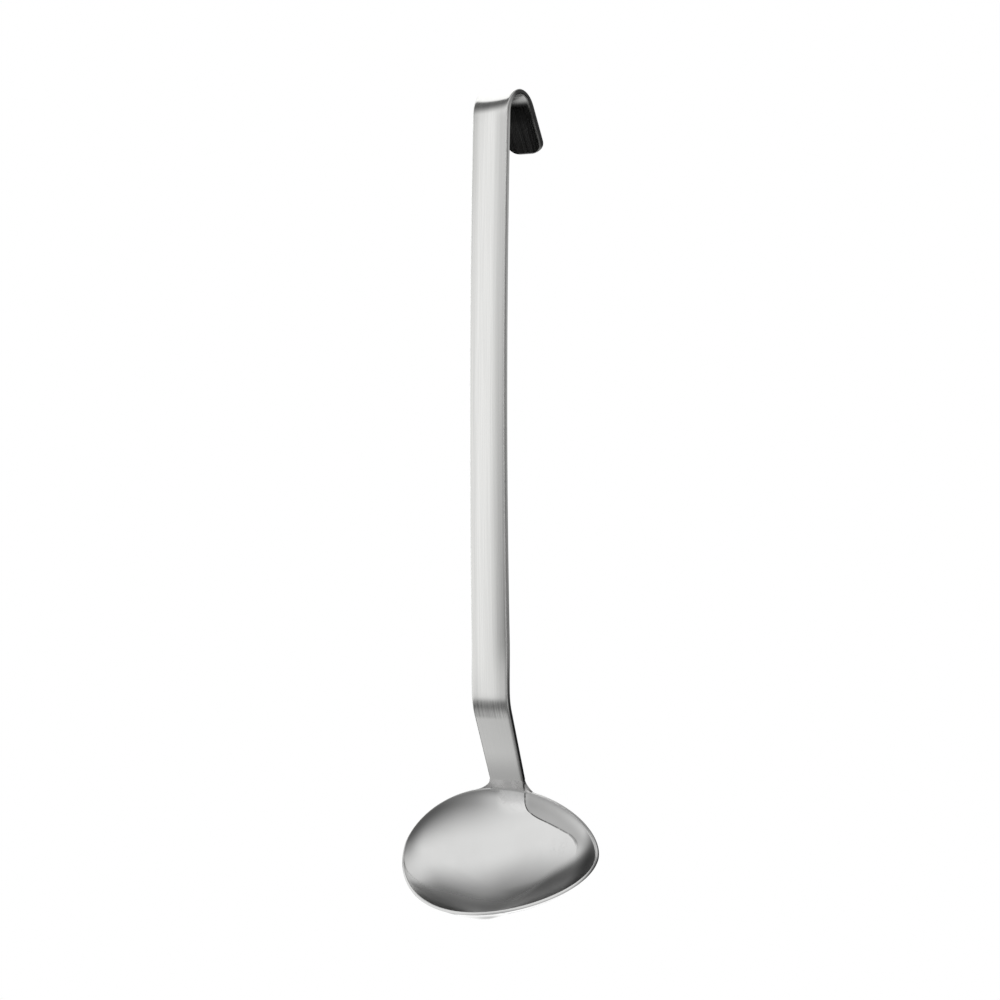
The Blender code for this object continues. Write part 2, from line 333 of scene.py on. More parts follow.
def tail_stations(strip):
    """The tail from its rounded end to the hook, as place, heading, width, thickness and crown."""
    heading = strip.tail_angle
    radius = strip.hook_radius + strip.thickness / 2
    top = outward(heading) * radius - Vector((0.0, 0.0, strip.hook_radius))
    end = top - along(heading) * strip.tail_length
    stations = []
    for index in range(1, TAIL_END_STEPS + 1):
        angle = math.pi / 2 * index / TAIL_END_STEPS
        distance = strip.tail_end_depth * (1.0 - math.cos(angle))
        width = strip.grip_width * math.sin(angle) ** (2.0 / 3.0)
        short = max(strip.edge_radius - distance, 0.0)
        drawn_in = strip.edge_radius - math.sqrt(strip.edge_radius ** 2 - short ** 2)
        thickness = strip.thickness - 2.0 * drawn_in
        stations.append((end + along(heading) * distance, heading, width, thickness, 0.0))
    straight = strip.tail_length - strip.tail_end_depth
    for place, angle in run_line(stations[-1][0], heading, straight, TAIL_STEPS):
        stations.append((place, angle, strip.grip_width, strip.thickness, 0.0))
    return stations


def hook_stations(strip, start):
    turn = math.pi - strip.grip_bow / 2 - strip.tail_angle
    radius = strip.hook_radius + strip.thickness / 2
    crest = math.pi / 2
    stations = []
    for place, heading in run_arc(start, strip.tail_angle, radius * turn, turn, HOOK_STEPS):
        if heading < crest:
            crown = -strip.crest_hollow * ease((heading - strip.tail_angle) / (crest - strip.tail_angle))
        else:
            rise = ease((heading - crest) / (strip.tail_angle + turn - crest))
            crown = -strip.crest_hollow + (strip.grip_crown + strip.crest_hollow) * rise
        stations.append((place, heading, strip.grip_width, strip.thickness, crown))
    return stations


def grip_stations(strip, start, heading):
    stations = []
    run = run_arc(start, heading, strip.grip_length, strip.grip_bow, GRIP_STEPS)
    for index, (place, angle) in enumerate(run, 1):
        widening = (strip.bend_width - strip.grip_width) * ease(2.0 * index / GRIP_STEPS - 1.0)
        crown = strip.grip_crown * (1.0 - ease(12.0 * index / GRIP_STEPS - 11.0))
        stations.append((place, angle, strip.grip_width + widening, strip.thickness, crown))
    return stations


def bend_stations(strip, start, heading):
    turn = math.pi + strip.neck_angle - heading
    stations = []
    for place, angle in run_arc(start, heading, strip.bend_radius * turn, turn, BEND_STEPS):
        stations.append((place, angle, strip.bend_width, strip.thickness, 0.0))
    return stations


def neck_stations(strip, start, heading):
    stations = []
    for index, (place, angle) in enumerate(run_line(start, heading, strip.neck_length, NECK_STEPS), 1):
        width = strip.bend_width + (strip.foot_width - strip.bend_width) * index / NECK_STEPS
        stations.append((place, angle, width, strip.thickness, 0.0))
    return stations


def strip_stations(strip):
    stations = tail_stations(strip)
    stations += hook_stations(strip, stations[-1][0])
    stations += grip_stations(strip, *stations[-1][:2])
    stations += bend_stations(strip, *stations[-1][:2])
    stations += neck_stations(strip, *stations[-1][:2])
    return stations


# The bowl's own frame starts at the rim's inner edge behind the handle's middle. X runs along the
# rim, V towards the lip in the rim's plane, and the depth is square to that plane.

def rim_origin(strip, weld):
    foot, heading = strip_stations(strip)[-1][:2]
    return foot + along(heading) * weld.height + outward(heading) * (strip.thickness / 2)


def bowl_point(origin, bowl, x, v, depth):
    to_lip = Vector((0.0, -math.sin(bowl.tilt), -math.cos(bowl.tilt)))
    inward = Vector((0.0, math.cos(bowl.tilt), -math.sin(bowl.tilt)))
    return origin + ACROSS * x + to_lip * v + inward * depth


def egg_height(bowl, turn):
    if math.sin(turn) > 0.0:
        return bowl.width / 2 * math.sin(turn) * (1.0 - bowl.lip_egg * math.cos(turn))
    back = abs(math.sin(turn)) ** bowl.back_flatness
    return -bowl.width / 2 * back * (1.0 - bowl.back_egg * math.cos(turn))


def rim_span(bowl):
    """The X of the rim's middle, and half of its length."""
    return (bowl.tip_reach - bowl.blunt_reach) / 2, (bowl.tip_reach + bowl.blunt_reach) / 2


def rim_turn(bowl, x):
    """The turn at which the back of the rim passes over x."""
    middle, half_length = rim_span(bowl)
    return -math.acos((x - middle) / half_length)


def rim_xv(bowl, turn):
    """The rim's outline: a turn of 0 is the pouring tip, a quarter turn the lip."""
    middle, half_length = rim_span(bowl)
    x = middle + half_length * math.cos(turn)
    return x, egg_height(bowl, turn) - egg_height(bowl, rim_turn(bowl, 0.0))


def around(angle, tip, blunt, lip, back, twist):
    """Runs smoothly round the bowl through the values at its tip, its blunt end, its lip and its back.

    A positive twist adds between the tip and the lip and takes off between the tip and the back.
    """
    mean = (tip + blunt + lip + back) / 4
    lengthwise = (tip - blunt) / 2 * math.cos(angle)
    crosswise = (lip - back) / 2 * math.sin(angle)
    ends = ((tip + blunt) / 2 - mean) * math.cos(2.0 * angle)
    return mean + lengthwise + crosswise + ends + twist * math.sin(2.0 * angle)


def wall_point(origin, bowl, turn, share):
    """A point on the inner wall, on a curve from the rim, at a share of 0, to the bottom's middle.

    Towards the middle the fullness goes over into its mean, which leaves the bottom smooth.
    """
    rim_x, rim_v = rim_xv(bowl, turn)
    middle_v = -egg_height(bowl, rim_turn(bowl, 0.0)) + bowl.bottom_to_lip
    reach = math.hypot(rim_x, rim_v - middle_v)
    side_x = rim_x / reach
    side_v = (rim_v - middle_v) / reach
    bottom = 1.0 / math.hypot(2.0 * side_x / bowl.bottom_length, 2.0 * side_v / bowl.bottom_width)
    angle = math.atan2((rim_v - middle_v) / bowl.width, rim_x / (bowl.tip_reach + bowl.blunt_reach))
    fullness = around(angle, bowl.fullness_tip, bowl.fullness_blunt, bowl.fullness_lip, bowl.fullness_back,
                      bowl.fullness_twist)
    slope = around(angle, bowl.slope_tip, bowl.slope_blunt, bowl.slope_lip, bowl.slope_back,
                   bowl.slope_twist)
    mean = (bowl.fullness_tip + bowl.fullness_blunt + bowl.fullness_lip + bowl.fullness_back) / 4
    drawn_in = fullness * bowl.depth / math.tan(slope)
    rest = 1.0 - share
    shoulder = bowl.depth * (mean + (fullness - mean) * rest)
    weights = (rest ** 3, 3.0 * rest ** 2 * share, 3.0 * rest * share ** 2, share ** 3)
    distance = weights[0] * reach + weights[1] * (reach - drawn_in) + weights[2] * bottom
    depth = weights[1] * shoulder + (weights[2] + weights[3]) * bowl.depth
    return bowl_point(origin, bowl, side_x * distance, middle_v + side_v * distance, depth)


class Wiring:
    """Adds nodes to a material or a group and joins them."""

    def __init__(self, tree):
        self.tree = tree

    def node(self, kind, **settings):
        made = self.tree.nodes.new(kind)
        for name, value in settings.items():
            setattr(made, name, value)
        return made

    def feed(self, socket, value):
        if isinstance(value, bpy.types.NodeSocket):
            self.tree.links.new(value, socket)
        else:
            socket.default_value = value

    def math(self, operation, *values):
        made = self.node("ShaderNodeMath", operation=operation)
        for socket, value in zip(made.inputs, values):
            self.feed(socket, value)
        return made.outputs["Value"]

    def chain(self, operation, *values):
        result = values[0]
        for value in values[1:]:
            result = self.math(operation, result, value)
        return result

    def product(self, *values):
        return self.chain("MULTIPLY", *values)

    def total(self, *values):
        return self.chain("ADD", *values)

    def rise(self, value, start, end, low=0.0, high=1.0):
        """Goes smoothly from low to high while the value goes from start to end."""
        made = self.node("ShaderNodeMapRange", interpolation_type="SMOOTHSTEP")
        for name, given in zip(("Value", "From Min", "From Max", "To Min", "To Max"),
                               (value, start, end, low, high)):
            self.feed(made.inputs[name], given)
        return made.outputs["Result"]

    def between(self, value, start, end, blur):
        """One from the start to the end, with soft borders of the blur's width outside them."""
        return self.product(self.rise(value, start - blur, start), self.rise(value, end + blur, end))

    def parts(self, vector):
        made = self.node("ShaderNodeSeparateXYZ")
        self.feed(made.inputs["Vector"], vector)
        return [made.outputs[name] for name in "XYZ"]

    def millimetres(self, vector):
        return [self.math("DIVIDE", part, MM) for part in self.parts(vector)]

    def attribute(self, name, output):
        return self.node("ShaderNodeAttribute", attribute_name=name).outputs[output]

    def mixed(self, share, low, high):
        made = self.node("ShaderNodeMix", data_type="FLOAT")
        for socket, value in zip(made.inputs[:1] + made.inputs[2:4], (share, low, high)):
            self.feed(socket, value)
        return made.outputs[0]

    def toned(self, tone, mask, change):
        """The tone, times the change where the mask is one."""
        return self.product(tone, self.mixed(mask, 1.0, change))

    def group(self, tree, **values):
        made = self.node("ShaderNodeGroup", node_tree=tree)
        for name, value in values.items():
            self.feed(made.inputs[name], value)
        return made.outputs


def new_group(name, vectors, numbers, outputs):
    """A node group with vector inputs, number inputs with defaults, and number outputs."""
    tree = bpy.data.node_groups.new(name, "ShaderNodeTree")
    for label in vectors:
        tree.interface.new_socket(label, in_out="INPUT", socket_type="NodeSocketVector")
    for label, default in numbers.items():
        socket = tree.interface.new_socket(label, in_out="INPUT", socket_type="NodeSocketFloat")
        socket.default_value = default
    for label in outputs:
        tree.interface.new_socket(label, in_out="OUTPUT", socket_type="NodeSocketFloat")
    wires = Wiring(tree)
    return tree, wires, wires.node("NodeGroupInput").outputs, wires.node("NodeGroupOutput").inputs


def noise(wires, place, scale, detail):
    made = wires.node("ShaderNodeTexNoise")
    for name, value in (("Vector", place), ("Scale", scale), ("Detail", detail)):
        wires.feed(made.inputs[name], value)
    return made.outputs["Fac"]


def stretched(wires, place, across, along):
    """The place with X scaled by one factor and Y and Z by another, both per metre."""
    factors = wires.node("ShaderNodeCombineXYZ")
    for name, value in zip("XYZ", (across, along, along)):
        wires.feed(factors.inputs[name], value)
    scaled = wires.node("ShaderNodeVectorMath", operation="MULTIPLY")
    wires.feed(scaled.inputs[0], place)
    wires.feed(scaled.inputs[1], factors.outputs["Vector"])
    return scaled.outputs["Vector"]


def brushed_grain():
    """Fine streaks along a brushed strip, from 0 to 1."""
    tree, wires, given, result = new_group(
        "brushed grain", ["Place"], {"Across": 2200.0, "Along": 22.0}, ["Streaks"])
    lines = noise(wires, stretched(wires, given["Place"], given["Across"], given["Along"]), 1.0, 4.0)
    wires.feed(result["Streaks"], wires.rise(lines, 0.3, 0.7))
    return tree


def polish_haze():
    """A roughness that wanders between two values, as rubbing with a cloth leaves it."""
    tree, wires, given, result = new_group(
        "polish haze", ["Place"], {"Scale": 60.0, "Low": 0.08, "High": 0.14}, ["Roughness"])
    clouds = noise(wires, given["Place"], given["Scale"], 3.0)
    wires.feed(result["Roughness"], wires.rise(clouds, 0.35, 0.65, given["Low"], given["High"]))
    return tree


def strip_edges():
    """Masks for a strip's rounded corners and for its narrow sides."""
    tree, wires, given, result = new_group("strip edges", ["Normal"], {}, ["Corner", "Side"])
    sideways = wires.math("ABSOLUTE", wires.parts(given["Normal"])[0])
    wires.feed(result["Corner"], wires.between(sideways, 0.35, 0.75, 0.15))
    wires.feed(result["Side"], wires.rise(sideways, 0.75, 0.9))
    return tree


def grinding_marks():
    """Short crossed scratches of a grinding disc, from 0 to 1."""
    tree, wires, given, result = new_group(
        "grinding marks", ["Place"], {"Across": 2600.0, "Along": 380.0}, ["Marks"])
    marks = []
    for turn in GRINDING_TURNS:
        turned = wires.node("ShaderNodeVectorRotate", rotation_type="Y_AXIS")
        wires.feed(turned.inputs["Vector"], given["Place"])
        turned.inputs["Angle"].default_value = turn
        lines = noise(wires, stretched(wires, turned.outputs["Vector"], given["Across"], given["Along"]),
                      1.0, 2.0)
        marks.append(wires.rise(lines, 0.5, 0.7))
    wires.feed(result["Marks"], wires.math("MAXIMUM", *marks))
    return tree


def new_steel(name):
    """A metal and the wiring of its nodes, with its object coordinates and its normal."""
    material = bpy.data.materials.new(name)
    material.use_nodes = True
    wires = Wiring(material.node_tree)
    material.node_tree.nodes["Principled BSDF"].inputs["Metallic"].default_value = 1.0
    coordinates = wires.node("ShaderNodeTexCoord").outputs
    return material, wires, coordinates["Object"], coordinates["Normal"]


def finish_steel(material, wires, colour, tone, roughness):
    """Feeds the metal's colour, darkened or lightened by a tone, and its roughness."""
    shader = material.node_tree.nodes["Principled BSDF"]
    toned = wires.node("ShaderNodeVectorMath", operation="SCALE")
    toned.inputs[0].default_value = colour
    wires.feed(toned.inputs["Scale"], tone)
    wires.feed(shader.inputs["Base Color"], toned.outputs["Vector"])
    wires.feed(shader.inputs["Roughness"], roughness)


def handle_steel(colour):
    """Satin strip, brushed along its length, with painted highlights on its front corners and painted shade
    on the hook's sides.
    """
    material, wires, place, normal = new_steel("handle_steel")
    x, y, z = wires.millimetres(place)
    facing_y, facing_z = wires.parts(normal)[1:]
    streaks = wires.group(brushed_grain(), Place=place)["Streaks"]
    edges = wires.group(strip_edges(), Normal=normal)
    corner, side = edges["Corner"], edges["Side"]

    # Along the strip, painted light and shade: the grip is lightest left of its middle, the bend is darker
    # on its left, and the neck darkens towards its foot. The streaks are the brushed grain.
    grip = wires.between(z, *GRIP_RUN, 8.0)
    face = wires.math("SUBTRACT", wires.rise(x, -6.5, -4.0, 0.94, 1.06), wires.rise(x, 1.0, 6.5, 0.0, 0.3))
    tone = wires.product(wires.mixed(grip, 1.0, face), wires.rise(streaks, 0.0, 1.0, 0.96, 1.04))
    bend = wires.between(z, *BEND_RUN, 2.0)
    tone = wires.toned(tone, bend, wires.rise(streaks, 0.2, 0.9, 0.82, 1.0))
    tone = wires.toned(tone, bend, wires.rise(x, -2.0, 7.0, 0.75, 1.0))
    tone = wires.product(tone, wires.rise(z, -262.0, -274.0, 1.08, 0.76))

    # The grip's front corners carry a painted highlight, and its sides painted light and shade that darkens
    # towards the bend
    front = wires.product(grip, wires.rise(y, -4.0, -7.0))
    tone = wires.mixed(wires.product(corner, front), tone, CORNER_HIGHLIGHT_TONE)
    tone = wires.mixed(wires.product(side, front), tone, wires.rise(z, -237.0, -222.0, *SIDE_LIGHT_AND_SHADE_TONES))

    # Painted shade on the hook's inside and the tail's inside, and on the sides of the hook and the neck
    under = wires.product(wires.rise(facing_z, -0.2, -0.5), wires.rise(z, -12.0, -7.0))
    tone = wires.toned(tone, under, PAINTED_UNDERSIDE_SHADE)
    hook = wires.product(wires.rise(y, -8.0, -3.0), wires.rise(z, -30.0, -26.0))
    tail = wires.product(hook, wires.rise(facing_y, -0.3, -0.6), wires.rise(z, -1.0, -3.0))
    tone = wires.toned(tone, tail, PAINTED_TAIL_SHADE)
    neck = wires.product(wires.rise(z, -235.0, -250.0), wires.rise(x, 0.0, 2.0))
    tone = wires.toned(tone, wires.product(wires.total(hook, neck), side), PAINTED_SIDE_SHADE)

    roughness = wires.rise(streaks, 0.0, 1.0, *STRIP_ROUGHNESS)
    roughness = wires.mixed(side, wires.mixed(corner, roughness, CORNER_ROUGHNESS), SIDE_ROUGHNESS)
    finish_steel(material, wires, colour, tone, roughness)
    return material


def fold_place(wires, v):
    """The X at which the bowl's fold lies for each V."""
    fold = wires.node("ShaderNodeFloatCurve")
    wires.feed(fold.inputs["Value"], wires.math("DIVIDE", v, FOLD_SPAN_V))
    spots = [(place_v / FOLD_SPAN_V, place_x / FOLD_SPAN_X) for place_v, place_x in FOLD]
    points = fold.mapping.curves[0].points
    for point, spot in zip(points, (spots[0], spots[-1])):
        point.location = spot
    for spot in spots[1:-1]:
        points.new(*spot)
    fold.mapping.update()
    return wires.product(fold.outputs["Value"], FOLD_SPAN_X)


def bowl_steel(colour):
    """Polished sheet: hazy, ground below the weld, with painted shade along a fold beside the neck and on
    its steep walls.
    """
    material, wires, place = new_steel("bowl_steel")[:3]
    x, v, depth = wires.millimetres(wires.attribute("rim_place", "Vector"))
    lip_gap = wires.math("DIVIDE", wires.attribute("lip_gap", "Fac"), MM)
    wall = wires.attribute("inside", "Fac")
    inside = wires.product(wall, wires.rise(depth, 0.3, 0.7))
    clear, dull = BOWL_HAZE
    roughness = wires.group(polish_haze(), Place=place, Low=clear, High=dull)["Roughness"]
    marks = wires.group(grinding_marks(), Place=place)["Marks"]
    tone = wires.rise(roughness, *BOWL_HAZE, 1.01, 0.99)

    # The fold's painted shade line, broken here and there, and the duller flank beyond it, with painted
    # shade that grows with depth
    beyond = wires.math("SUBTRACT", x, fold_place(wires, v))
    width = wires.rise(v, 7.5, 10.5, 0.5, 1.2)
    line = wires.rise(wires.math("DIVIDE", wires.math("ABSOLUTE", beyond), width), 1.0, 0.3)
    line = wires.product(line, inside, wires.between(v, 2.0, 18.5, 3.0),
                         wires.rise(v, 8.0, 18.0, 1.0, 0.55),
                         wires.rise(noise(wires, place, 900.0, 2.0), 0.3, 0.5, 0.5, 1.0))
    flank = wires.product(wall, wires.rise(v, 28.0, 17.0), wires.rise(beyond, -0.3, 0.6))
    roughness = wires.mixed(flank, roughness, DULL_WALL_ROUGHNESS)
    tone = wires.toned(tone, flank, wires.rise(depth, 0.8, 3.2, 1.0, FLANK_SHADE_TONE))
    tone = wires.toned(tone, line, FOLD_LINE_SHADE)

    # Rub marks beside the end of the fold
    rub = wires.product(wires.between(x, 25.0, 30.0, 4.0), wires.between(v, 19.0, 22.0, 3.0), inside, marks)
    tone = wires.toned(tone, rub, RUB_TONE)

    # Painted shade on the steep wall at the pouring tip and on the turned-up wall behind the lip, which is
    # also duller
    tip = wires.total(x, wires.product(v, 0.25))
    tone = wires.toned(tone, inside, wires.rise(tip, 43.5, 52.5, 1.0, TIP_SHADE_TONE))
    gap = wires.math("SUBTRACT", lip_gap, wires.rise(x, 5.0, 30.0, 0.0, 7.0))
    low = wires.total(v, wires.product(x, 0.3))
    turned_up = wires.product(wires.rise(gap, 12.5, 6.5), wires.rise(low, 30.0, 41.0), inside)
    tone = wires.toned(tone, turned_up, wires.rise(x, 5.0, 25.0, *LIP_WALL_SHADE_TONES))
    roughness = wires.mixed(turned_up, roughness, DULL_WALL_ROUGHNESS)

    # The ground zone below the weld, and the rim where the weld joins it
    ground = wires.product(wires.between(x, -2.5, 7.0, 4.5), wires.rise(v, 10.0, 3.0), inside)
    tone = wires.toned(tone, ground, wires.rise(marks, 0.0, 1.0, *GROUND_TONES))
    roughness = wires.mixed(wires.product(ground, ground), roughness, GROUND_ROUGHNESS)
    joined = wires.product(wires.between(x, -8.0, 9.0, 1.0), wires.rise(depth, 0.9, 0.4),
                           wires.rise(v, 6.0, 3.0))
    tone = wires.toned(tone, joined, JOINED_TONE)
    roughness = wires.mixed(joined, roughness, JOINED_ROUGHNESS)
    finish_steel(material, wires, colour, tone, roughness)
    return material


def weld_steel(colour):
    """Ground weld: crossed scratches over a dull polish, with the fold's painted shade line across it."""
    material, wires, place = new_steel("weld_steel")[:3]
    marks = wires.group(grinding_marks(), Place=place)["Marks"]
    clear, dull = WELD_HAZE
    roughness = wires.group(polish_haze(), Place=place, Scale=250.0, Low=clear, High=dull)["Roughness"]
    tone = wires.rise(marks, 0.0, 1.0, 1.0, 0.88)
    x = wires.millimetres(place)[0]
    # The fold's painted shade line, carried across the weld
    fold = wires.rise(wires.math("ABSOLUTE", wires.math("SUBTRACT", x, 8.2)), 0.6, 0.2)
    fold = wires.product(fold, wires.rise(noise(wires, place, 700.0, 2.0), 0.35, 0.5, 0.4, 1.0))
    tone = wires.toned(tone, fold, WELD_LINE_SHADE)
    finish_steel(material, wires, colour, tone, roughness)
    return material


def start_strip(strip, station):
    """The strip's section at the tail's end: a rectangle with rounded corners, its long sides cut up."""
    place, heading = station[:2]
    bpy.ops.mesh.primitive_plane_add(size=1.0, location=place, rotation=(heading, 0.0, 0.0))
    piece = take_active("ladle_handle")
    bpy.ops.transform.resize(value=(strip.grip_width, strip.thickness, 1.0), orient_type="LOCAL")
    bpy.ops.object.transform_apply(location=True, rotation=True, scale=True)
    bpy.ops.object.mode_set(mode="EDIT")
    bpy.ops.mesh.select_all(action="SELECT")
    bpy.ops.mesh.bevel(offset=strip.edge_radius, segments=CORNER_SEGMENTS, affect="VERTICES")
    shape = bmesh.from_edit_mesh(piece.data)
    for edge in shape.edges:
        edge.select_set(edge.calc_length() > strip.grip_width / 2)
    bmesh.update_edit_mesh(piece.data)
    bpy.ops.mesh.subdivide(number_cuts=FACE_CUTS)
    bpy.ops.mesh.select_all(action="SELECT")
    return piece


def reshape_section(piece, near, far):
    """Fits the selected section, which has the near station's size and crown, to the far station."""
    near_width, near_thickness, near_crown = near[2:]
    place, heading, width, thickness, crown = far
    wider = width / near_width
    thicker = thickness / near_thickness
    shape = bmesh.from_edit_mesh(piece.data)
    for corner in shape.verts:
        if not corner.select:
            continue
        x = corner.co.x
        fall = (2.0 * x / near_width) ** 2
        lifted = (corner.co - place).dot(outward(heading)) + near_crown * fall
        lifted = lifted * thicker - crown * fall
        corner.co = place + ACROSS * (x * wider) + outward(heading) * lifted
    bmesh.update_edit_mesh(piece.data)


def model_handle(strip):
    """Extrudes the section along the strip's path, station by station."""
    stations = strip_stations(strip)
    first = stations[0]
    piece = start_strip(strip, first)
    full_size = (first[0], first[1], strip.grip_width, strip.thickness, 0.0)
    reshape_section(piece, full_size, first)
    for near, far in zip(stations, stations[1:]):
        step = far[0] - near[0]
        bpy.ops.mesh.extrude_region_move(TRANSFORM_OT_translate={"value": step})
        bpy.ops.transform.rotate(
            value=near[1] - far[1], orient_axis="X", orient_type="GLOBAL", center_override=far[0])
        reshape_section(piece, near, far)
    bpy.ops.object.mode_set(mode="OBJECT")
    face_outwards(piece)
    bpy.ops.object.shade_smooth_by_angle(angle=SMOOTH_ANGLE)
    return piece


def model_bowl(strip, bowl, weld):
    """Presses a disc into the bowl's inner wall, then gives it the sheet's thickness and a round rim."""
    origin = rim_origin(strip, weld)
    bpy.ops.object.select_all(action="DESELECT")
    bpy.ops.mesh.primitive_circle_add(vertices=BOWL_SIDES, radius=1.0, fill_type="NOTHING")
    piece = take_active("ladle_bowl")
    bpy.ops.object.mode_set(mode="EDIT")
    bpy.ops.mesh.select_all(action="SELECT")
    for ring in range(1, BOWL_RINGS):
        smaller = (BOWL_RINGS - ring) / (BOWL_RINGS - ring + 1)
        bpy.ops.mesh.extrude_region_move()
        bpy.ops.transform.resize(value=(smaller, smaller, 1.0), center_override=(0.0, 0.0, 0.0))
    bpy.ops.mesh.extrude_region_move()
    bpy.ops.mesh.merge(type="CENTER")
    bpy.ops.object.mode_set(mode="OBJECT")

    def press(point):
        turn = math.atan2(point.y, point.x)
        return wall_point(origin, bowl, turn, 1.0 - min(math.hypot(point.x, point.y), 1.0))

    move_points(piece, press)
    face_outwards(piece)
    opening = bowl_point(origin, bowl, 0.0, 0.0, 0.0) - bowl_point(origin, bowl, 0.0, 0.0, bowl.depth)
    if piece.data.polygons[0].normal.dot(opening) < 0.0:
        piece.data.flip_normals()
    sheet = piece.modifiers.new("sheet", "SOLIDIFY")
    sheet.thickness = bowl.sheet
    sheet.offset = -1.0
    sheet.use_even_offset = True
    rim = piece.modifiers.new("rim", "BEVEL")
    rim.width = bowl.rim_radius
    rim.segments = RIM_SEGMENTS
    rim.limit_method = "ANGLE"
    rim.angle_limit = RIM_ANGLE
    apply_modifiers(piece)
    bpy.ops.object.shade_smooth()
    mark_places(piece, origin, bowl)
    return piece


def mark_places(piece, origin, bowl):
    """Stores each point's place in the bowl's own frame, its gap to the lip and whether it lies inside."""
    for name, kind in (("rim_place", "FLOAT_VECTOR"), ("lip_gap", "FLOAT"), ("inside", "FLOAT")):
        piece.data.attributes.new(name, kind, "POINT")
    places, gaps, insides = (piece.data.attributes[name] for name in ("rim_place", "lip_gap", "inside"))
    middle, half_length = rim_span(bowl)
    to_lip = bowl_point(Vector(), bowl, 0.0, 1.0, 0.0)
    inward = bowl_point(Vector(), bowl, 0.0, 0.0, 1.0)
    for corner in piece.data.vertices:
        offset = corner.co - origin
        v = offset.dot(to_lip)
        share = min(max((offset.x - middle) / half_length, -1.0), 1.0)
        places.data[corner.index].vector = (offset.x, v, offset.dot(inward))
        gaps.data[corner.index].value = rim_xv(bowl, math.acos(share))[1] - v
        insides.data[corner.index].value = 1.0 if corner.normal.dot(inward) < -FACING_LIMIT else 0.0


def model_weld(strip, bowl, weld):
    """A flat patch fitted between the neck's foot and the rim, with fillets at its sides."""
    origin = rim_origin(strip, weld)
    heading = math.pi + strip.neck_angle
    reaches = (weld.reach_blunt, weld.reach_tip)
    bpy.ops.object.select_all(action="DESELECT")
    bpy.ops.mesh.primitive_grid_add(x_subdivisions=WELD_COLUMNS, y_subdivisions=WELD_ROWS, size=2.0)
    piece = take_active("ladle_neck_weld")

    def fit(point):
        share = (1.0 - point.y) / 2
        turn = math.pi / 2 * share
        flare = (1.0 - math.cos(turn)) * (reaches[0] if point.x < 0.0 else reaches[1])
        x = point.x * (strip.foot_width / 2 + flare)
        rim = bowl_point(origin, bowl, x, rim_xv(bowl, rim_turn(bowl, x))[1] * ease(share), 0.0)
        return rim - along(heading) * (weld.height * (1.0 - math.sin(turn)))

    move_points(piece, fit)
    face_outwards(piece)
    if piece.data.polygons[0].normal.dot(outward(heading)) < 0.0:
        piece.data.flip_normals()
    plate = piece.modifiers.new("plate", "SOLIDIFY")
    plate.thickness = strip.thickness * PLATE_SHARE
    plate.offset = -1.0
    apply_modifiers(piece)
    bpy.ops.object.shade_smooth_by_angle(angle=SMOOTH_ANGLE)
    return piece


class LADLE_OT_handle(bpy.types.Operator):
    """Model the handle: hook, grip and neck from one bent strip"""

    bl_idname = "ladle.handle"
    bl_label = "Handle"

    def execute(self, context):
        scene = context.scene
        bpy.ops.object.select_all(action="DESELECT")
        piece = model_handle(scene.ladle_strip)
        dress(piece, handle_steel(scene.ladle_finishes.handle_colour), "handle")
        return {"FINISHED"}


class LADLE_OT_bowl(bpy.types.Operator):
    """Model the egg-shaped bowl"""

    bl_idname = "ladle.bowl"
    bl_label = "Bowl"

    def execute(self, context):
        scene = context.scene
        piece = model_bowl(scene.ladle_strip, scene.ladle_bowl, scene.ladle_weld)
        dress(piece, bowl_steel(scene.ladle_finishes.bowl_colour), "bowl")
        return {"FINISHED"}


class LADLE_OT_neck_weld(bpy.types.Operator):
    """Model the weld that joins the neck to the bowl's rim"""

    bl_idname = "ladle.neck_weld"
    bl_label = "Neck weld"

    def execute(self, context):
        scene = context.scene
        piece = model_weld(scene.ladle_strip, scene.ladle_bowl, scene.ladle_weld)
        dress(piece, weld_steel(scene.ladle_finishes.weld_colour), "neck_weld")
        return {"FINISHED"}


# The studio, in the frame's own axes
VIEW_YAW = math.radians(35.0)
VIEW_DISTANCE = 1.246
VIEW_LEFT = 1.5 * MM
VIEW_HEIGHT = -150.3 * MM
VIEW_LENS = 111.6
VIEW_SENSOR = 36.0
VIEW_SHIFT = -0.029
VIEW_END = 20.0
FLOOR_HEIGHT = -0.45
FLOOR_RADIUS = 0.45
FLOOR_SIDES = 96
FLOOR_ROUGHNESS = 0.9
TENT_RADIUS = 1.5
TENT_HEIGHT = -0.2
TENT_SEGMENTS = 96
TENT_RINGS = 48
WINDOW_LEAN = math.radians(32.0)
WALL_SLOPE = 0.545
WALL_LIGHT = 1.35
BACK_SHADE = 0.85


def direction_to(azimuth, elevation):
    """A unit vector: azimuth 0 points to the front (-Y) and grows to the right (+X)."""
    flat = math.cos(elevation)
    return Vector((flat * math.sin(azimuth), -flat * math.cos(azimuth), math.sin(elevation)))


def glow_material(name):
    """A material that only gives light, with its strength left to be wired."""
    material = bpy.data.materials.new(name)
    material.use_nodes = True
    nodes = material.node_tree.nodes
    nodes.clear()
    glow = nodes.new("ShaderNodeEmission")
    output = nodes.new("ShaderNodeOutputMaterial")
    material.node_tree.links.new(glow.outputs["Emission"], output.inputs["Surface"])
    return material, glow.inputs["Strength"]


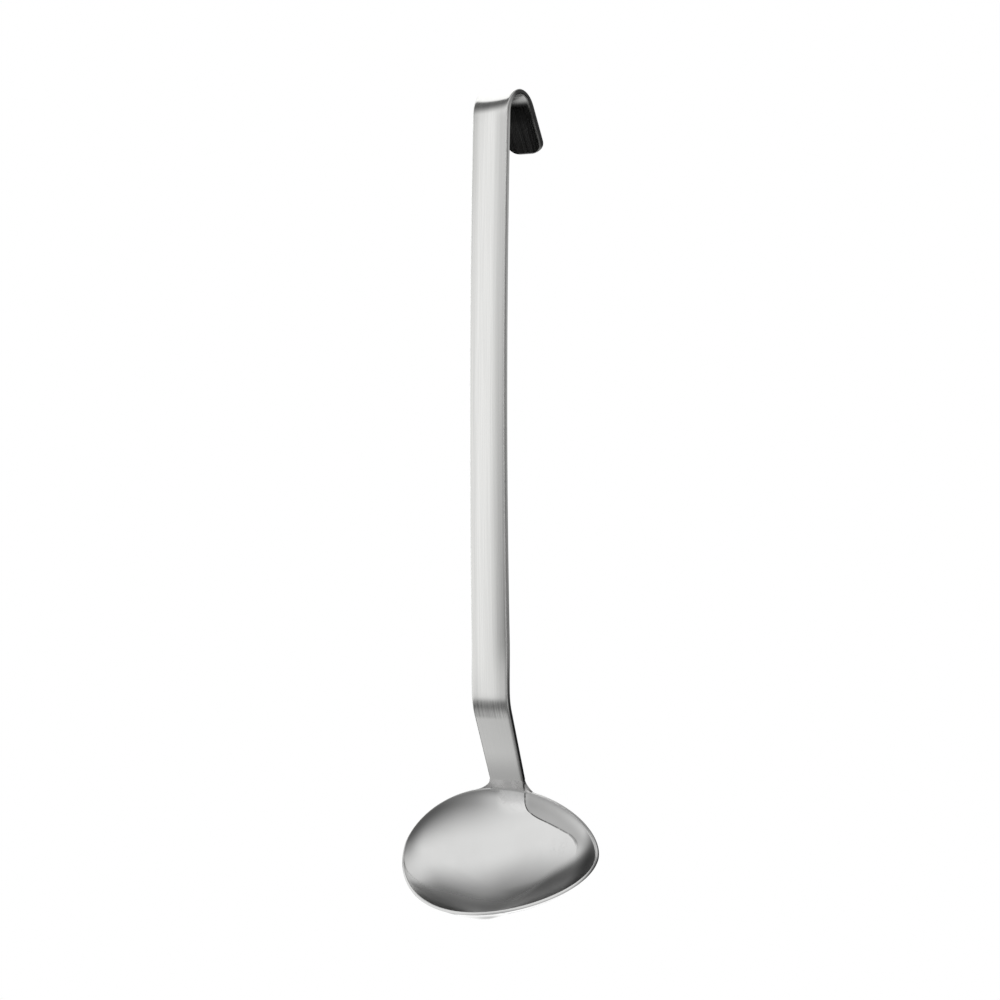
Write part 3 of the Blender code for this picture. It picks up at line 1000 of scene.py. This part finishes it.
def tent_material():
    """The light on the tent's wall: a broad window in front, a bright wall behind on the left."""
    material, strength = glow_material("tent")
    wires = Wiring(material.node_tree)
    centred = wires.node("ShaderNodeVectorMath", operation="SUBTRACT")
    wires.feed(centred.inputs[0], wires.node("ShaderNodeTexCoord").outputs["Object"])
    centred.inputs[1].default_value = (0.0, 0.0, TENT_HEIGHT)
    unit = wires.node("ShaderNodeVectorMath", operation="NORMALIZE")
    wires.feed(unit.inputs[0], centred.outputs["Vector"])
    x, y, z = wires.parts(unit.outputs["Vector"])
    front = wires.product(y, -1.0)

    # The window's lower border climbs to the right. A glow lies low on its left, a dim light over
    # its right end.
    lean = wires.math("SUBTRACT", wires.product(z, math.cos(WINDOW_LEAN)),
                      wires.product(x, math.sin(WINDOW_LEAN)))
    window = wires.product(wires.rise(lean, -0.2, 0.4), wires.rise(lean, 0.9, 0.53),
                           wires.rise(x, 0.19, 0.57, 0.96, 0.42), wires.rise(front, -0.35, 0.1))
    glow = wires.product(wires.rise(x, -0.3, -0.65), wires.rise(z, 0.3, -0.1),
                         wires.rise(front, 0.05, 0.35, 0.0, 0.65))
    top = wires.product(wires.rise(z, 0.6, 0.9), wires.rise(x, 0.02, 0.22, 0.0, 0.5))
    beside = wires.math("SUBTRACT", 1.0, window)
    window = wires.total(window, wires.product(beside, wires.total(glow, top)))
    window = wires.product(window, wires.rise(z, -0.4, -0.26))

    # The bright wall behind on the left
    behind = wires.math("SUBTRACT", front, wires.product(z, WALL_SLOPE))
    wall = wires.product(wires.rise(behind, -0.14, -0.3), wires.rise(x, -0.2, -0.45),
                         wires.rise(z, -0.2, 0.1), WALL_LIGHT)

    # The dim rest, darker low down behind on the right and lighter above that
    rest = wires.math("SUBTRACT", wires.rise(z, -0.5, -0.44, 0.0, 0.24),
                      wires.rise(z, -0.28, -0.15, 0.0, 0.09))
    right_back = wires.product(wires.rise(front, -0.2, -0.6), wires.rise(x, 0.0, 0.3))
    shade = wires.product(right_back, wires.rise(z, 0.05, -0.12), BACK_SHADE)
    rest = wires.product(rest, wires.math("SUBTRACT", 1.0, shade))
    rest = wires.total(rest, wires.product(right_back, wires.rise(z, -0.12, 0.05, 0.0, 0.25)))
    wires.feed(strength, wires.total(rest, window, wall))
    return material


def make_tent():
    """The light tent round the ladle. It shows only in reflections."""
    bpy.ops.object.select_all(action="DESELECT")
    bpy.ops.mesh.primitive_uv_sphere_add(
        segments=TENT_SEGMENTS, ring_count=TENT_RINGS, radius=TENT_RADIUS, location=(0.0, 0.0, TENT_HEIGHT))
    tent = take_active("tent")
    bpy.ops.object.transform_apply(location=True, rotation=True, scale=True)
    tent.visible_camera = False
    tent.visible_shadow = False
    tent.data.materials.append(tent_material())


def make_camera():
    right = Vector((math.cos(VIEW_YAW), math.sin(VIEW_YAW), 0.0))
    place = direction_to(VIEW_YAW, 0.0) * VIEW_DISTANCE - right * VIEW_LEFT
    place.z = VIEW_HEIGHT
    data = bpy.data.cameras.new("view")
    data.lens = VIEW_LENS
    data.sensor_width = VIEW_SENSOR
    data.shift_y = VIEW_SHIFT
    data.clip_end = VIEW_END
    camera = bpy.data.objects.new("view", data)
    camera.location = place
    camera.rotation_euler = (math.pi / 2, 0.0, VIEW_YAW)
    bpy.context.scene.collection.objects.link(camera)
    bpy.context.scene.camera = camera


def make_world():
    """Plain white, at the strength at which white shows as white."""
    world = bpy.data.worlds.new("studio")
    world.use_nodes = True
    background = world.node_tree.nodes["Background"]
    background.inputs["Color"].default_value = (1.0, 1.0, 1.0, 1.0)
    background.inputs["Strength"].default_value = 1.0
    bpy.context.scene.world = world


def make_floor(colour):
    """A pale round floor. It shows only in light and reflections, and in reflections it is a painted glow,
    brighter behind on the left.
    """
    bpy.ops.object.select_all(action="DESELECT")
    bpy.ops.mesh.primitive_circle_add(
        vertices=FLOOR_SIDES, radius=FLOOR_RADIUS, fill_type="NGON", location=(0.0, 0.0, FLOOR_HEIGHT))
    floor = take_active("floor")
    bpy.ops.object.transform_apply(location=True, rotation=True, scale=True)
    material = bpy.data.materials.new("floor")
    material.use_nodes = True
    wires = Wiring(material.node_tree)
    shader = material.node_tree.nodes["Principled BSDF"]
    shader.inputs["Base Color"].default_value = (*colour, 1.0)
    shader.inputs["Roughness"].default_value = FLOOR_ROUGHNESS
    shader.inputs["Specular IOR Level"].default_value = 0.0
    x, y = wires.parts(wires.node("ShaderNodeTexCoord").outputs["Object"])[:2]
    # Painted light: glossy rays see a glow in place of the lit floor, brighter behind on the left
    back = wires.total(wires.product(x, -0.6), wires.product(y, 0.8))
    light = wires.total(wires.rise(back, -0.11, -0.03, 0.28, 0.8), wires.rise(back, 0.05, 0.15, 0.0, 0.45))
    light = wires.product(light, wires.rise(x, -0.31, -0.285))
    glow = wires.node("ShaderNodeEmission")
    wires.feed(glow.inputs["Strength"], light)
    mix = wires.node("ShaderNodeMixShader")
    wires.feed(mix.inputs["Fac"], wires.node("ShaderNodeLightPath").outputs["Is Glossy Ray"])
    wires.feed(mix.inputs[1], shader.outputs["BSDF"])
    wires.feed(mix.inputs[2], glow.outputs["Emission"])
    wires.feed(material.node_tree.nodes["Material Output"].inputs["Surface"], mix.outputs["Shader"])
    floor.data.materials.append(material)
    floor.visible_camera = False


class LADLE_OT_stage(bpy.types.Operator):
    """Set up the camera, the white world, the floor and the light tent"""

    bl_idname = "ladle.stage"
    bl_label = "Stage"

    def execute(self, context):
        make_camera()
        make_world()
        make_floor(context.scene.ladle_finishes.floor_colour)
        make_tent()
        context.scene.view_settings.view_transform = "Standard"
        return {"FINISHED"}


OPERATORS = (LADLE_OT_handle, LADLE_OT_bowl, LADLE_OT_neck_weld, LADLE_OT_stage)
GROUPS = {
    "ladle_strip": StripSizes,
    "ladle_bowl": BowlSizes,
    "ladle_weld": WeldSizes,
    "ladle_finishes": Finishes,
}


class LADLE_PT_panel(bpy.types.Panel):
    """Steps that build the ladle"""

    bl_label = "Sauce Ladle"
    bl_idname = "LADLE_PT_panel"
    bl_space_type = "VIEW_3D"
    bl_region_type = "UI"
    bl_category = "Ladle"

    def draw(self, context):
        for operator in OPERATORS:
            self.layout.operator(operator.bl_idname)


def register():
    for group in (*GROUPS.values(), *OPERATORS, LADLE_PT_panel):
        bpy.utils.register_class(group)
    for name, group in GROUPS.items():
        setattr(bpy.types.Scene, name, bpy.props.PointerProperty(type=group))


def unregister():
    for name in GROUPS:
        delattr(bpy.types.Scene, name)
    for group in reversed((*GROUPS.values(), *OPERATORS, LADLE_PT_panel)):
        bpy.utils.unregister_class(group)


def main():
    register()
    bpy.ops.ladle.stage()
    bpy.ops.ladle.handle()
    bpy.ops.ladle.bowl()
    bpy.ops.ladle.neck_weld()


if __name__ == "__main__":
    main()
